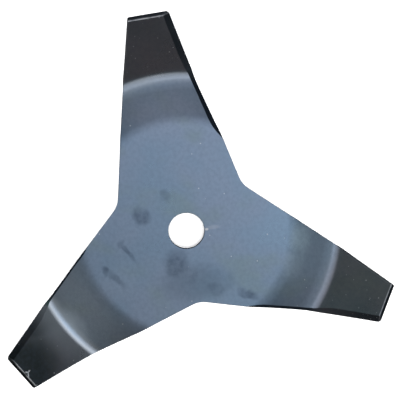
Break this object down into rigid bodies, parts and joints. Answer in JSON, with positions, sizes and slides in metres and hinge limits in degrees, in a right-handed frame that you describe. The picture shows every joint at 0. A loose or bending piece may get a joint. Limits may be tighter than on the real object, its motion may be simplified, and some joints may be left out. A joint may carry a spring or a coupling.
{
  "type": "brush cutter blade",
  "caption": "Brush cutter blade pressed from steel plate, with tapered arms that dip and then rise to square tips, one-sided ground edges and a central bore.",
  "frame": {"origin": "on the axis of the bore, in the plane of the hub's upper face", "axes": "+Z along the bore's axis, out of the upper face, on which the edges are ground and towards which the tips rise; +X along the middle of one arm"},
  "size_m": [0.2378, 0.2737, 0.0276],
  "materials": {
    "blade": "hardened steel plate, blued dark, satin"
  },
  "bodies": {
    "root": {"blade": "blade"}
  },
  "joints": []
}
